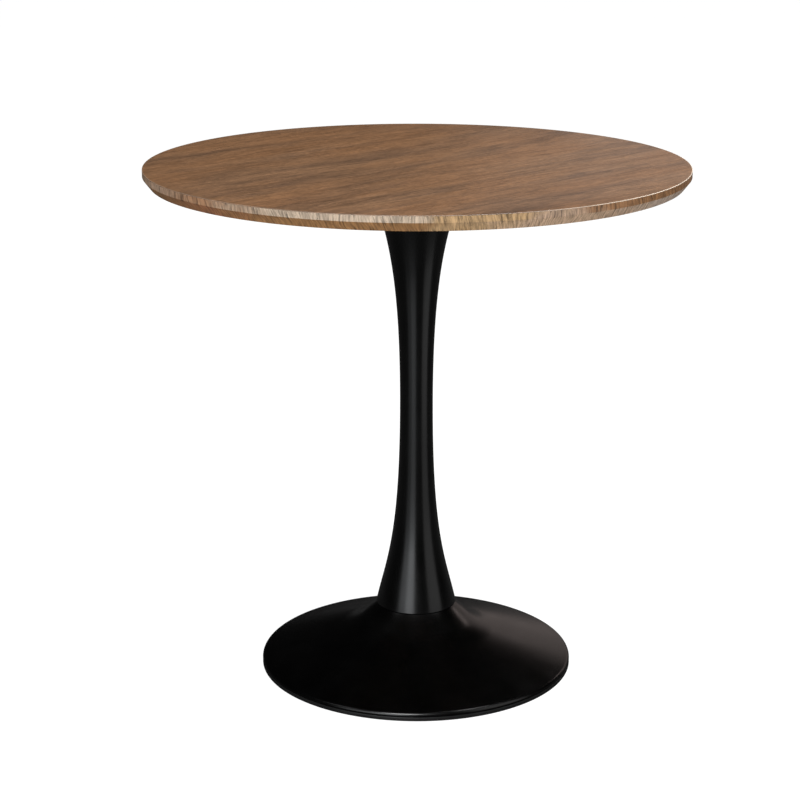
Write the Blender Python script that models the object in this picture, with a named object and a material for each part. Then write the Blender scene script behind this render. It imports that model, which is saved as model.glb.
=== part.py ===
"""Round pedestal table: a veneered top on a spun hourglass stem and a weighted trumpet base.

Metres, +Z up. The origin is on the floor, on the axis that every turned piece shares.
A tie rod through the stem clamps the mounting plate, stem, gasket and base cover down
on the ballast.
"""
import math

import bmesh
import bpy
from mathutils import Matrix, Vector
from mathutils.geometry import interpolate_bezier, intersect_line_line_2d

# Overall sizes
TABLE_HEIGHT = 0.741
TOP_DIAMETER = 0.762
BASE_DIAMETER = 0.4552

# Clearances
SEAT_GAP = 0.0003

# Table top: a board with face veneers, an upright edge band and a chamfer strip
TOP_THICKNESS = 0.021
BAND_HEIGHT = 0.0092
CHAMFER_INSET = 0.0091
FACE_VENEER = 0.0008
EDGE_VENEER = 0.0010
ARRIS = 0.0006

# Mounting plate and what fastens it
PLATE_DIAMETER = 0.240
PLATE_THICKNESS = 0.005
PLATE_SCREW_CIRCLE = 0.200
PLATE_SCREW_COUNT = 6
INSERT_RADIUS = 0.005
INSERT_LENGTH = 0.012
M6_RADIUS = 0.003
M6_HEAD_RADIUS = 0.0055
M6_HEAD_HEIGHT = 0.0033
M6_LENGTH = 0.014
BOSS_RADIUS = 0.013
BOSS_HEIGHT = 0.022
SPIGOT_WALL = 0.003
SPIGOT_HEIGHT = 0.012

# Stem: a spun hourglass tube
STEM_HEAD_RADIUS = 0.0632
STEM_WAIST_RADIUS = 0.0237
STEM_FOOT_RADIUS = 0.0583
STEM_WAIST_HEIGHT = 0.3988
STEM_WALL = 0.0015
STEM_END_SLOPE = 0.216
WAIST_HANDLE = 0.68
END_HANDLE = 0.20
STEM_FLANGE = 0.012

# Seam between stem and base
GASKET_THICKNESS = 0.001
GASKET_RECESS = 0.0018
GASKET_WIDTH = 0.009
CENTRING_RISE = 0.006

# Base cover: a spun trumpet with a rolled-down rim
NECK_TOP = 0.0904
NECK_STEP = 0.0003
NECK_CORNER = 0.0012
BASE_WALL = 0.0015
FLARE_ANGLE = math.radians(43)
FLARE_RUN = 0.0365
FLARE_FILLET_REACH = 0.022
RIM_ANGLE = math.radians(18.5)
RIM_BEND = 0.0060
RIM_STRAIGHT = 0.0007
RIM_REVEAL = 0.0009

# Rim ring that the table stands on
RING_HEIGHT = 0.0056
RING_EASE = 0.0008
RING_COLLAR_WALL = 0.0027
RING_COLLAR_RISE = 0.0030
RING_FLANGE_WIDTH = 0.0083
RING_FLANGE_BOTTOM = 0.0050

# Ballast and the clamp in it
BALLAST_INSET = 0.0136
BALLAST_BOTTOM = 0.0083
BALLAST_RIM_WIDTH = 0.064
BALLAST_WALL = 0.010
HUB_RADIUS = 0.034
ROD_RADIUS = 0.006
ROD_HOLE_CLEARANCE = 0.001
POCKET_RADIUS = 0.023
POCKET_DEPTH = 0.020
WASHER_RADIUS = 0.018
WASHER_THICKNESS = 0.0025
NUT_ACROSS_FLATS = 0.019
NUT_HEIGHT = 0.0108
ROD_TAIL = 0.0015

# Bottom cover plate and its fasteners
COVER_THICKNESS = 0.0012
COVER_SIDE_GAP = 0.0008
COVER_HOLE_RADIUS = 0.024
COVER_SCREW_INSET = 0.039
COVER_SCREW_COUNT = 6
M5_RADIUS = 0.0025
M5_HEAD_RADIUS = 0.0046
M5_HEAD_HEIGHT = 0.0020
M5_LENGTH = 0.010
PLUG_SKIRT_WALL = 0.0015
PLUG_SKIRT_HEIGHT = 0.004
PLUG_RIM = 0.003
PLUG_HEAD_HEIGHT = 0.0012
SCREW_HOLE_SPARE = 0.001

# Facets
TOP_SEGMENTS = 72
BASE_SEGMENTS = 56
STEM_SEGMENTS = 40
SMALL_SEGMENTS = 24
SCREW_SEGMENTS = 12
STEM_HALF_ROWS = 8
FILLET_ROWS = 5
DOME_ROWS = 4
BEND_ROWS = 3

# Heights and radii that follow
TOP_RADIUS = TOP_DIAMETER / 2
BASE_RADIUS = BASE_DIAMETER / 2
UNDERSIDE = TABLE_HEIGHT - TOP_THICKNESS
PLATE_TOP = UNDERSIDE - SEAT_GAP
PLATE_BOTTOM = PLATE_TOP - PLATE_THICKNESS
STEM_HEAD = PLATE_BOTTOM - SEAT_GAP
GASKET_BOTTOM = NECK_TOP + SEAT_GAP
STEM_FOOT = GASKET_BOTTOM + GASKET_THICKNESS + SEAT_GAP
FOOT_OPENING = STEM_FOOT_RADIUS - STEM_FLANGE
NECK_RADIUS = STEM_FOOT_RADIUS - NECK_STEP
RIM_EDGE_HEIGHT = RING_HEIGHT + RIM_REVEAL
BALLAST_RADIUS = BASE_RADIUS - BALLAST_INSET
BALLAST_RIM_INNER = BALLAST_RADIUS - BALLAST_RIM_WIDTH
COVER_TOP = RING_FLANGE_BOTTOM - SEAT_GAP
COVER_BOTTOM = COVER_TOP - COVER_THICKNESS
POCKET_TOP = BALLAST_BOTTOM + POCKET_DEPTH


def clear_scene():
    """Remove whatever objects the file holds."""
    for thing in list(bpy.data.objects):
        bpy.data.objects.remove(thing, do_unlink=True)


def material(name, colour, roughness, metallic=0.0):
    """One Principled material per sub-part."""
    finish = bpy.data.materials.new(name)
    finish.use_nodes = True
    shader = finish.node_tree.nodes["Principled BSDF"]
    shader.inputs["Base Color"].default_value = (*colour, 1.0)
    shader.inputs["Roughness"].default_value = roughness
    shader.inputs["Metallic"].default_value = metallic
    return finish


def offset_line(line, distance):
    """A copy of an open line moved to its right-hand side, with mitred corners."""
    points = [Vector(point) for point in line]
    sides = []
    for start, end in zip(points, points[1:]):
        along = (end - start).normalized()
        shift = Vector((along.y, -along.x)) * distance
        sides.append((start + shift, end + shift))
    moved = [sides[0][0]]
    for before, after in zip(sides, sides[1:]):
        ahead = (before[1] - before[0]).normalized()
        back = (after[1] - after[0]).normalized()
        cross = intersect_line_line_2d(before[0], before[1] + ahead, after[0] - back, after[1])
        moved.append(cross if cross else before[1])
    moved.append(sides[-1][1])
    return [tuple(point) for point in moved]


def stretch(line, inner, outer):
    """The part of an outward-running line between two radii, with its ends worked out on the line."""
    def height_at(radius):
        for (near, high), (far, low) in zip(line, line[1:]):
            if near <= radius <= far:
                return high + (low - high) * (radius - near) / (far - near)
        return line[0][1]

    middle = [point for point in line if inner < point[0] < outer]
    return [(inner, height_at(inner)), *middle, (outer, height_at(outer))]


def between(line, top, bottom):
    """The part of a downward-running line between two heights, with its ends worked out on the line."""
    def radius_at(height):
        for (upper, high), (lower, low) in zip(line, line[1:]):
            if low <= height <= high:
                return lower + (upper - lower) * (height - low) / (high - low)
        return line[0][0]

    middle = [point for point in line if bottom < point[1] < top]
    return [(radius_at(top), top), *middle, (radius_at(bottom), bottom)]


def lathe_mesh(name, section, segments):
    """Turn a closed (radius, height) section once round the Z axis."""
    shape = bmesh.new()
    corners = [shape.verts.new((radius, 0.0, height)) for radius, height in section]
    edges = [shape.edges.new(pair) for pair in zip(corners, corners[1:])]
    if min(radius for radius, height in section) > 0:
        edges.append(shape.edges.new((corners[-1], corners[0])))
    bmesh.ops.spin(
        shape, geom=corners + edges, cent=(0, 0, 0), axis=(0, 0, 1),
        angle=math.tau, steps=segments, use_merge=True,
    )
    bmesh.ops.remove_doubles(shape, verts=shape.verts[:], dist=0.00001)
    bmesh.ops.recalc_face_normals(shape, faces=shape.faces[:])
    mesh = bpy.data.meshes.new(name)
    shape.to_mesh(mesh)
    shape.free()
    mesh.shade_smooth()
    mesh.set_sharp_from_angle(angle=math.radians(35))
    return mesh


def place(name, mesh, finish, location=(0, 0, 0), parent=None):
    """Put a mesh in the scene under its own name."""
    thing = bpy.data.objects.new(name, mesh)
    bpy.context.scene.collection.objects.link(thing)
    thing.location = location
    thing.parent = parent
    if not mesh.materials:
        mesh.materials.append(finish)
    return thing


def turned(name, section, finish, segments, parent):
    """A turned piece on the table's own axis."""
    return place(name, lathe_mesh(name, section, segments), finish, parent=parent)


def ring(inner, outer, bottom, top):
    """Section of a flat ring."""
    return [(inner, top), (outer, top), (outer, bottom), (inner, bottom)]


def circle_spots(diameter, count):
    """Places evenly spread on a circle, the first one off the front axis by half a pitch."""
    pitch = math.tau / count
    angles = [pitch * (index + 0.5) for index in range(count)]
    return [(diameter / 2 * math.cos(angle), diameter / 2 * math.sin(angle)) for angle in angles]


def drill(target, spots, radius, bottom, top, segments=SCREW_SEGMENTS):
    """Cut upright round holes with one Boolean that stays on the piece."""
    shape = bmesh.new()
    for x, y in spots:
        middle = Matrix.Translation((x, y, (bottom + top) / 2))
        bmesh.ops.create_cone(
            shape, cap_ends=True, segments=segments, radius1=radius, radius2=radius,
            depth=top - bottom, matrix=middle,
        )
    mesh = bpy.data.meshes.new(target.name + "_drill")
    shape.to_mesh(mesh)
    shape.free()
    cutter = bpy.data.objects.new(mesh.name, mesh)
    bpy.context.scene.collection.objects.link(cutter)
    cutter.parent = target.parent
    cutter.hide_render = True
    cutter.display_type = "WIRE"
    cut = target.modifiers.new("holes", "BOOLEAN")
    cut.operation = "DIFFERENCE"
    cut.object = cutter


def half_stem(end_radius, length):
    """Outline from the waist to one end, as (distance, radius): level at the waist, sloped at the end."""
    knots = [
        Vector((0, STEM_WAIST_RADIUS)),
        Vector((WAIST_HANDLE * length, STEM_WAIST_RADIUS)),
        Vector((length - END_HANDLE * length, end_radius - STEM_END_SLOPE * END_HANDLE * length)),
        Vector((length, end_radius)),
    ]
    return [(point.x, point.y) for point in interpolate_bezier(*knots, STEM_HALF_ROWS + 1)]


def stem_outline():
    """Outer line of the stem from head to foot, as (radius, height)."""
    upper = half_stem(STEM_HEAD_RADIUS, STEM_HEAD - STEM_WAIST_HEIGHT)
    lower = half_stem(STEM_FOOT_RADIUS, STEM_WAIST_HEIGHT - STEM_FOOT)
    line = [(radius, STEM_WAIST_HEIGHT + rise) for rise, radius in reversed(upper)]
    line += [(radius, STEM_WAIST_HEIGHT - drop) for drop, radius in lower[1:]]
    return line


def curve(start, pull, end, count):
    """Points of a quadratic curve whose two ends both head for a pull point."""
    points = []
    for step in range(1, count + 1):
        share = step / count
        point = start.lerp(pull, share).lerp(pull.lerp(end, share), share)
        points.append((point.x, point.y))
    return points


def base_outline():
    """Outer line of the base cover: neck flange, straight flare, fillet, dome, rolled rim."""
    bend_height = RIM_EDGE_HEIGHT + RIM_STRAIGHT
    bend_centre = BASE_RADIUS - RIM_BEND
    bend = []
    for row in range(BEND_ROWS + 1):
        angle = (math.pi / 2 - RIM_ANGLE) * (1 - row / BEND_ROWS)
        bend.append((bend_centre + RIM_BEND * math.cos(angle), bend_height + RIM_BEND * math.sin(angle)))
    dome_end = Vector(bend[0])
    flare_start = Vector((NECK_RADIUS, NECK_TOP - NECK_CORNER))
    corner = flare_start + FLARE_RUN * Vector((1, -math.tan(FLARE_ANGLE)))
    crown = dome_end + (dome_end.x - corner.x) / 2 * Vector((-1, math.tan(RIM_ANGLE)))
    fillet_start = corner + FLARE_FILLET_REACH * (flare_start - corner).normalized()
    fillet_end = corner + FLARE_FILLET_REACH * (crown - corner).normalized()
    neck = [(FOOT_OPENING, NECK_TOP), (NECK_RADIUS - NECK_CORNER, NECK_TOP), tuple(flare_start)]
    fillet = [tuple(fillet_start)] + curve(fillet_start, corner, fillet_end, FILLET_ROWS)
    dome = curve(fillet_end, crown, dome_end, DOME_ROWS)
    return neck + fillet + dome + bend[1:] + [(BASE_RADIUS, RIM_EDGE_HEIGHT)]


def screw_mesh(name, radius, head_radius, head_height, length):
    """A button-head screw standing on its head: the shank goes up from z = 0."""
    section = [
        (0, length),
        (radius * 0.7, length),
        (radius, length - radius * 0.3),
        (radius, 0),
        (head_radius, 0),
        (head_radius, -head_height * 0.4),
        (head_radius * 0.62, -head_height),
        (0, -head_height),
    ]
    return lathe_mesh(name, section, SCREW_SEGMENTS)


def build_top(parent):
    """Core board, face veneers, edge band, chamfer strip and threaded inserts."""
    board = material("mdf", (0.42, 0.29, 0.17), 0.85)
    walnut = material("walnut_veneer", (0.20, 0.11, 0.06), 0.45)
    edging = material("walnut_edging", (0.36, 0.24, 0.15), 0.5)
    zinc = material("zinc_insert", (0.62, 0.62, 0.60), 0.4, 1.0)
    insert_spots = circle_spots(PLATE_SCREW_CIRCLE, PLATE_SCREW_COUNT)
    bore_radius = INSERT_RADIUS + SEAT_GAP
    chamfer_top = TABLE_HEIGHT - BAND_HEIGHT
    chamfer_drop = TOP_THICKNESS - BAND_HEIGHT
    lower_radius = TOP_RADIUS - CHAMFER_INSET
    strip_width = EDGE_VENEER * math.hypot(CHAMFER_INSET, chamfer_drop) / chamfer_drop

    side = [(TOP_RADIUS, TABLE_HEIGHT), (TOP_RADIUS, chamfer_top), (lower_radius, UNDERSIDE)]
    core_side = offset_line(side, EDGE_VENEER + SEAT_GAP)
    core_top = TABLE_HEIGHT - FACE_VENEER - SEAT_GAP
    core_bottom = UNDERSIDE + FACE_VENEER + SEAT_GAP
    core_radius = core_side[0][0]
    core_lower = core_side[2][0] + CHAMFER_INSET * (core_bottom - core_side[2][1]) / chamfer_drop
    core = turned("top_core", [
        (0, core_top), (core_radius, core_top), core_side[1], (core_lower, core_bottom), (0, core_bottom),
    ], board, TOP_SEGMENTS, parent)
    drill(core, insert_spots, bore_radius, UNDERSIDE - SEAT_GAP, UNDERSIDE + INSERT_LENGTH + SEAT_GAP)

    veneer_bottom = TABLE_HEIGHT - FACE_VENEER
    turned("top_veneer", [
        (0, TABLE_HEIGHT), (TOP_RADIUS - ARRIS, TABLE_HEIGHT), (TOP_RADIUS, TABLE_HEIGHT - ARRIS),
        (TOP_RADIUS, veneer_bottom), (0, veneer_bottom),
    ], walnut, TOP_SEGMENTS, parent)

    band = ring(TOP_RADIUS - EDGE_VENEER, TOP_RADIUS, chamfer_top, veneer_bottom - SEAT_GAP)
    turned("edge_band", band, edging, TOP_SEGMENTS, parent)

    strip_top = chamfer_top - SEAT_GAP
    strip_radius = TOP_RADIUS - CHAMFER_INSET * SEAT_GAP / chamfer_drop
    turned("chamfer_strip", [
        (strip_radius, strip_top), (lower_radius, UNDERSIDE),
        (lower_radius - strip_width, UNDERSIDE), (strip_radius - strip_width, strip_top),
    ], edging, TOP_SEGMENTS, parent)

    backing_radius = lower_radius - strip_width - SEAT_GAP
    backing = turned("backing_veneer", [
        (0, UNDERSIDE + FACE_VENEER), (backing_radius, UNDERSIDE + FACE_VENEER),
        (backing_radius, UNDERSIDE), (0, UNDERSIDE),
    ], walnut, TOP_SEGMENTS, parent)
    drill(backing, insert_spots, bore_radius, UNDERSIDE - FACE_VENEER, UNDERSIDE + 2 * FACE_VENEER)

    insert = lathe_mesh("threaded_insert", ring(M6_RADIUS + SEAT_GAP, INSERT_RADIUS, 0, INSERT_LENGTH),
                        SCREW_SEGMENTS)
    for index, (x, y) in enumerate(insert_spots):
        place(f"threaded_insert_{index + 1}", insert, zinc, (x, y, UNDERSIDE), parent)


def build_mounting(parent):
    """Mounting plate, its screws, the boss for the tie rod and the spigot for the stem."""
    black = material("plate_black", (0.02, 0.02, 0.02), 0.5, 0.4)
    steel = material("screw_steel", (0.5, 0.5, 0.5), 0.35, 1.0)
    spots = circle_spots(PLATE_SCREW_CIRCLE, PLATE_SCREW_COUNT)
    plate = turned("mounting_plate", [
        (0, PLATE_TOP), (PLATE_DIAMETER / 2, PLATE_TOP),
        (PLATE_DIAMETER / 2, PLATE_BOTTOM), (0, PLATE_BOTTOM),
    ], black, BASE_SEGMENTS, parent)
    drill(plate, spots, M6_RADIUS + SCREW_HOLE_SPARE, PLATE_BOTTOM - SEAT_GAP, PLATE_TOP + SEAT_GAP)

    screw = screw_mesh("plate_screw", M6_RADIUS, M6_HEAD_RADIUS, M6_HEAD_HEIGHT, M6_LENGTH)
    for index, (x, y) in enumerate(spots):
        place(f"plate_screw_{index + 1}", screw, steel, (x, y, PLATE_BOTTOM - SEAT_GAP), parent)

    boss_top = PLATE_BOTTOM - SEAT_GAP
    turned("rod_boss", ring(ROD_RADIUS + SEAT_GAP, BOSS_RADIUS, boss_top - BOSS_HEIGHT, boss_top),
           black, SMALL_SEGMENTS, parent)

    stem_bore = offset_line(stem_outline(), STEM_WALL + 2 * SEAT_GAP)
    outside = between(stem_bore, boss_top, boss_top - SPIGOT_HEIGHT)
    inside = [(radius - SPIGOT_WALL, height) for radius, height in reversed(outside)]
    turned("stem_spigot", outside + inside, black, STEM_SEGMENTS, parent)


def build_stem(parent):
    """Spun stem, the tie rod inside it, and the gasket and centring disc at its foot."""
    satin = material("stem_black", (0.012, 0.012, 0.013), 0.32, 0.2)
    rubber = material("gasket_rubber", (0.01, 0.01, 0.01), 0.8)
    steel = material("rod_steel", (0.55, 0.55, 0.56), 0.4, 1.0)
    outline = stem_outline() + [(FOOT_OPENING, STEM_FOOT)]
    inner = offset_line(outline, STEM_WALL)
    inner[0] = (STEM_HEAD_RADIUS - STEM_WALL * math.hypot(1, STEM_END_SLOPE), STEM_HEAD)
    turned("stem", outline + inner[::-1], satin, STEM_SEGMENTS, parent)

    gasket_outer = STEM_FOOT_RADIUS - GASKET_RECESS
    gasket = ring(gasket_outer - GASKET_WIDTH, gasket_outer, GASKET_BOTTOM, GASKET_BOTTOM + GASKET_THICKNESS)
    turned("neck_gasket", gasket, rubber, STEM_SEGMENTS, parent)

    hub_top = NECK_TOP - BASE_WALL - SEAT_GAP
    disc_radius = FOOT_OPENING - 2 * SEAT_GAP
    disc = ring(ROD_RADIUS + SEAT_GAP, disc_radius, hub_top + SEAT_GAP, STEM_FOOT + CENTRING_RISE)
    turned("centring_disc", disc, steel, STEM_SEGMENTS, parent)

    rod_top = PLATE_BOTTOM - 2 * SEAT_GAP
    rod_bottom = POCKET_TOP - 2 * SEAT_GAP - WASHER_THICKNESS - NUT_HEIGHT - ROD_TAIL
    turned("tie_rod", [
        (0, rod_top), (ROD_RADIUS, rod_top), (ROD_RADIUS, rod_bottom), (0, rod_bottom),
    ], steel, SMALL_SEGMENTS, parent)


def build_base(parent):
    """Base cover, ballast, rim ring and the clamp under the ballast."""
    satin = material("base_black", (0.012, 0.012, 0.013), 0.25, 0.2)
    iron = material("ballast_iron", (0.06, 0.06, 0.06), 0.7, 0.6)
    rubber = material("ring_rubber", (0.015, 0.015, 0.015), 0.6)
    steel = material("clamp_steel", (0.55, 0.55, 0.56), 0.35, 1.0)
    outline = base_outline()
    section = outline + offset_line(outline, BASE_WALL)[::-1]
    turned("base_cover", section, satin, BASE_SEGMENTS, parent)

    hole_radius = ROD_RADIUS + ROD_HOLE_CLEARANCE
    crown = stretch(offset_line(outline, BASE_WALL + SEAT_GAP), hole_radius, BALLAST_RADIUS)
    flare = outline[2:]
    ceiling = offset_line(flare, BASE_WALL + SEAT_GAP + BALLAST_WALL)
    recess = stretch(ceiling, HUB_RADIUS, BALLAST_RIM_INNER)[::-1]
    ballast = turned("ballast", [
        *crown, (BALLAST_RADIUS, BALLAST_BOTTOM), (BALLAST_RIM_INNER, BALLAST_BOTTOM), *recess,
        (HUB_RADIUS, BALLAST_BOTTOM), (POCKET_RADIUS, BALLAST_BOTTOM),
        (POCKET_RADIUS, POCKET_TOP), (hole_radius, POCKET_TOP),
    ], iron, BASE_SEGMENTS, parent)
    thread_top = COVER_BOTTOM + M5_LENGTH + SCREW_HOLE_SPARE
    cover_spots = circle_spots(2 * (BALLAST_RADIUS - COVER_SCREW_INSET), COVER_SCREW_COUNT)
    drill(ballast, cover_spots, M5_RADIUS + SEAT_GAP, BALLAST_BOTTOM - SEAT_GAP, thread_top)

    bore = BALLAST_RADIUS + SEAT_GAP
    flange_top = BALLAST_BOTTOM - SEAT_GAP
    flange_inner = bore - RING_FLANGE_WIDTH
    collar_top = flange_top + RING_COLLAR_RISE
    turned("rim_ring", [
        (bore, collar_top), (bore + RING_COLLAR_WALL, collar_top),
        (bore + RING_COLLAR_WALL, RING_HEIGHT), (BASE_RADIUS - RING_EASE, RING_HEIGHT),
        (BASE_RADIUS, RING_HEIGHT - RING_EASE), (BASE_RADIUS, RING_EASE), (BASE_RADIUS - RING_EASE, 0),
        (bore, 0), (bore, RING_FLANGE_BOTTOM), (flange_inner, RING_FLANGE_BOTTOM),
        (flange_inner, flange_top), (bore, flange_top),
    ], rubber, BASE_SEGMENTS, parent)

    washer_top = POCKET_TOP - SEAT_GAP
    washer_bottom = washer_top - WASHER_THICKNESS
    turned("clamp_washer", ring(ROD_RADIUS + SEAT_GAP, WASHER_RADIUS, washer_bottom, washer_top),
           steel, SMALL_SEGMENTS, parent)
    build_nut("clamp_nut", washer_bottom - SEAT_GAP, steel, parent)
    return cover_spots


def build_nut(name, top, finish, parent):
    """A hexagon nut on the tie rod, with its top face at the given height."""
    sides = 6
    corner_radius = NUT_ACROSS_FLATS / 2 / math.cos(math.pi / sides)
    shape = bmesh.new()
    bmesh.ops.create_cone(
        shape, cap_ends=True, segments=sides, radius1=corner_radius, radius2=corner_radius,
        depth=NUT_HEIGHT, matrix=Matrix.Translation((0, 0, top - NUT_HEIGHT / 2)),
    )
    mesh = bpy.data.meshes.new(name)
    shape.to_mesh(mesh)
    shape.free()
    nut = place(name, mesh, finish, parent=parent)
    drill(nut, [(0, 0)], ROD_RADIUS + SEAT_GAP, top - NUT_HEIGHT - SEAT_GAP, top + SEAT_GAP, SMALL_SEGMENTS)


def build_bottom(parent, spots):
    """Cover plate under the ballast, its screws and the plug in its access hole."""
    black = material("cover_black", (0.03, 0.03, 0.03), 0.6, 0.5)
    steel = material("cover_screw_steel", (0.5, 0.5, 0.5), 0.35, 1.0)
    plastic = material("plug_plastic", (0.02, 0.02, 0.02), 0.5)
    cover_radius = BALLAST_RADIUS + SEAT_GAP - COVER_SIDE_GAP
    cover = turned("bottom_plate", ring(COVER_HOLE_RADIUS, cover_radius, COVER_BOTTOM, COVER_TOP),
                   black, BASE_SEGMENTS, parent)
    drill(cover, spots, M5_RADIUS + SEAT_GAP, COVER_BOTTOM - SEAT_GAP, COVER_TOP + SEAT_GAP)

    screw = screw_mesh("cover_screw", M5_RADIUS, M5_HEAD_RADIUS, M5_HEAD_HEIGHT, M5_LENGTH)
    for index, (x, y) in enumerate(spots):
        place(f"cover_screw_{index + 1}", screw, steel, (x, y, COVER_BOTTOM - SEAT_GAP), parent)

    skirt = COVER_HOLE_RADIUS - SEAT_GAP
    head_top = COVER_BOTTOM - SEAT_GAP
    head_bottom = head_top - PLUG_HEAD_HEIGHT
    skirt_top = head_top + PLUG_SKIRT_HEIGHT
    turned("access_plug", [
        (0, head_top), (skirt - PLUG_SKIRT_WALL, head_top), (skirt - PLUG_SKIRT_WALL, skirt_top),
        (skirt, skirt_top), (skirt, head_top), (skirt + PLUG_RIM, head_top),
        (skirt + PLUG_RIM, head_bottom), (0, head_bottom),
    ], plastic, SMALL_SEGMENTS, parent)


clear_scene()
table = bpy.data.objects.new("table", None)
bpy.context.scene.collection.objects.link(table)
build_top(table)
build_mounting(table)
build_stem(table)
screw_spots = build_base(table)
build_bottom(table, screw_spots)
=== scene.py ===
import math

import bpy
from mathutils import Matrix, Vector
from mathutils.geometry import interpolate_bezier


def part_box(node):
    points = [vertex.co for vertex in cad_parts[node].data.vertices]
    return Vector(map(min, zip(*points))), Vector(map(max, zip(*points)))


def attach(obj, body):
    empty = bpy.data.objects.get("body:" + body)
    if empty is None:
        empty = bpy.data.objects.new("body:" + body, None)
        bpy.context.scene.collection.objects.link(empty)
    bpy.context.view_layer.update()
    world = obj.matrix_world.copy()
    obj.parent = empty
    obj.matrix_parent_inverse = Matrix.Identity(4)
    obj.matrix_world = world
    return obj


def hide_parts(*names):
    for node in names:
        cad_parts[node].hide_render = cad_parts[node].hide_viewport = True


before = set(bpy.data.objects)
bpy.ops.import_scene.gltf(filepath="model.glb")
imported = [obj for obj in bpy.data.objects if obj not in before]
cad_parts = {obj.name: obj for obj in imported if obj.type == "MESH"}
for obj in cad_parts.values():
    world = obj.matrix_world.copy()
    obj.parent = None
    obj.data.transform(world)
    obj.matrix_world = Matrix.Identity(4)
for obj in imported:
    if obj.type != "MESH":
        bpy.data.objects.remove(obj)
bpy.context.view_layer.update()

# Studio. A wide pale floor and a soft box overhead. Strips low in front draw the long highlights
# down the stem, panels behind on the right warm the base and the top. The camera sees the floor
# and room as white paper; mirrored in the lacquer they are dark.
FLOOR_SPAN = 60.0
FLOOR_TONE = 0.38
FLOOR_MIRRORED = 0.05
PAPER_GLOW = 1.0
PAPER_SHADE = 0.12
ROOM_LIGHT = 0.008
AIM = Vector((0.0, 0.0, 0.4))


def soft_box(name, place, width, height, power, tint=(1.0, 1.0, 1.0)):
    lamp = bpy.data.lights.new(name, "AREA")
    lamp.shape = "RECTANGLE"
    lamp.size = width
    lamp.size_y = height
    lamp.energy = power
    lamp.color = tint
    stand = bpy.data.objects.new(name, lamp)
    bpy.context.collection.objects.link(stand)
    stand.location = place
    stand.rotation_euler = (AIM - stand.location).to_track_quat("-Z", "Y").to_euler()
    stand.visible_camera = False


bpy.ops.object.select_all(action="DESELECT")
bpy.ops.mesh.primitive_plane_add(size=FLOOR_SPAN)
floor = bpy.context.object
floor.name = "studio_floor"
floor_paint = bpy.data.materials.new("floor_paint")
floor_paint.use_nodes = True
paper = floor_paint.node_tree
paper.nodes.clear()
ray = paper.nodes.new("ShaderNodeLightPath")


def matt(tone):
    coat = paper.nodes.new("ShaderNodeBsdfDiffuse")
    coat.inputs["Color"].default_value = (tone, tone, tone, 1.0)
    return coat.outputs["BSDF"]


def either(choice, first, second):
    mix = paper.nodes.new("ShaderNodeMixShader")
    for socket, value in zip(mix.inputs, (choice, first, second)):
        paper.links.new(value, socket)
    return mix.outputs["Shader"]


glow = paper.nodes.new("ShaderNodeEmission")
glow.inputs["Strength"].default_value = PAPER_GLOW
lit = paper.nodes.new("ShaderNodeAddShader")
paper.links.new(glow.outputs["Emission"], lit.inputs[0])
paper.links.new(matt(PAPER_SHADE), lit.inputs[1])
bounced = either(ray.outputs["Is Glossy Ray"], matt(FLOOR_TONE), matt(FLOOR_MIRRORED))
seen = either(ray.outputs["Is Camera Ray"], bounced, lit.outputs["Shader"])
paper_end = paper.nodes.new("ShaderNodeOutputMaterial")
paper.links.new(seen, paper_end.inputs["Surface"])
floor.data.materials.append(floor_paint)

WARM = (1.0, 0.84, 0.79)
COOL = (0.94, 0.97, 1.0)
soft_box("overhead", (0.55, 0.1, 3.6), 1.6, 1.8, 160.0)
soft_box("front_key", (-0.6, -3.4, 2.5), 1.4, 1.0, 85.0)
soft_box("front_left_strip", (-0.95, -3.0, 0.85), 1.2, 1.6, 17.0, COOL)
soft_box("front_left_side", (-1.90, -2.40, 0.85), 1.3, 1.6, 8.0, COOL)
soft_box("front_left_foot", (-0.36, -1.15, 0.18), 0.55, 0.36, 0.6, COOL)
soft_box("front_left_turn", (-0.80, -0.95, 0.18), 0.60, 0.36, 0.3, COOL)
soft_box("front_right_strip", (0.84, -0.55, 0.55), 0.75, 1.1, 1.9)
soft_box("back_right_panel", (1.60, 2.80, 0.70), 2.6, 1.3, 3.8, WARM)
soft_box("back_right_spot", (2.3, 2.05, 1.35), 0.4, 0.4, 1.1, WARM)
soft_box("back_glow", (0.80, 3.9, 1.75), 1.3, 0.6, 1.3, WARM)
soft_box("left_fill", (-2.6, -1.4, 2.6), 1.2, 1.2, 4.0)

world = bpy.data.worlds.new("room")
world.use_nodes = True
walls = world.node_tree
dim = walls.nodes["Background"]
dim.inputs["Color"].default_value = (1.0, 1.0, 1.0, 1.0)
dim.inputs["Strength"].default_value = ROOM_LIGHT
pale = walls.nodes.new("ShaderNodeBackground")
pale.inputs["Color"].default_value = (1.0, 1.0, 1.0, 1.0)
pale.inputs["Strength"].default_value = PAPER_GLOW
room = walls.nodes.new("ShaderNodeMixShader")
walls.links.new(walls.nodes.new("ShaderNodeLightPath").outputs["Is Camera Ray"], room.inputs[0])
walls.links.new(dim.outputs["Background"], room.inputs[1])
walls.links.new(pale.outputs["Background"], room.inputs[2])
walls.links.new(room.outputs["Shader"], walls.nodes["World Output"].inputs["Surface"])
bpy.context.scene.world = world
bpy.context.scene.view_settings.view_transform = "Standard"

CAMERA_PLACE = (0.0, -2.860, 1.219)
CAMERA_DIP = 16.007
CAMERA_SWING = 0.474
LENS_LENGTH = 93.02
SENSOR_WIDTH = 36.0
lens = bpy.data.cameras.new("camera")
lens.lens = LENS_LENGTH
lens.sensor_width = SENSOR_WIDTH
camera = bpy.data.objects.new("camera", lens)
bpy.context.collection.objects.link(camera)
camera.location = CAMERA_PLACE
camera.rotation_euler = (math.radians(90 - CAMERA_DIP), 0.0, math.radians(CAMERA_SWING))
bpy.context.scene.camera = camera

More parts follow.
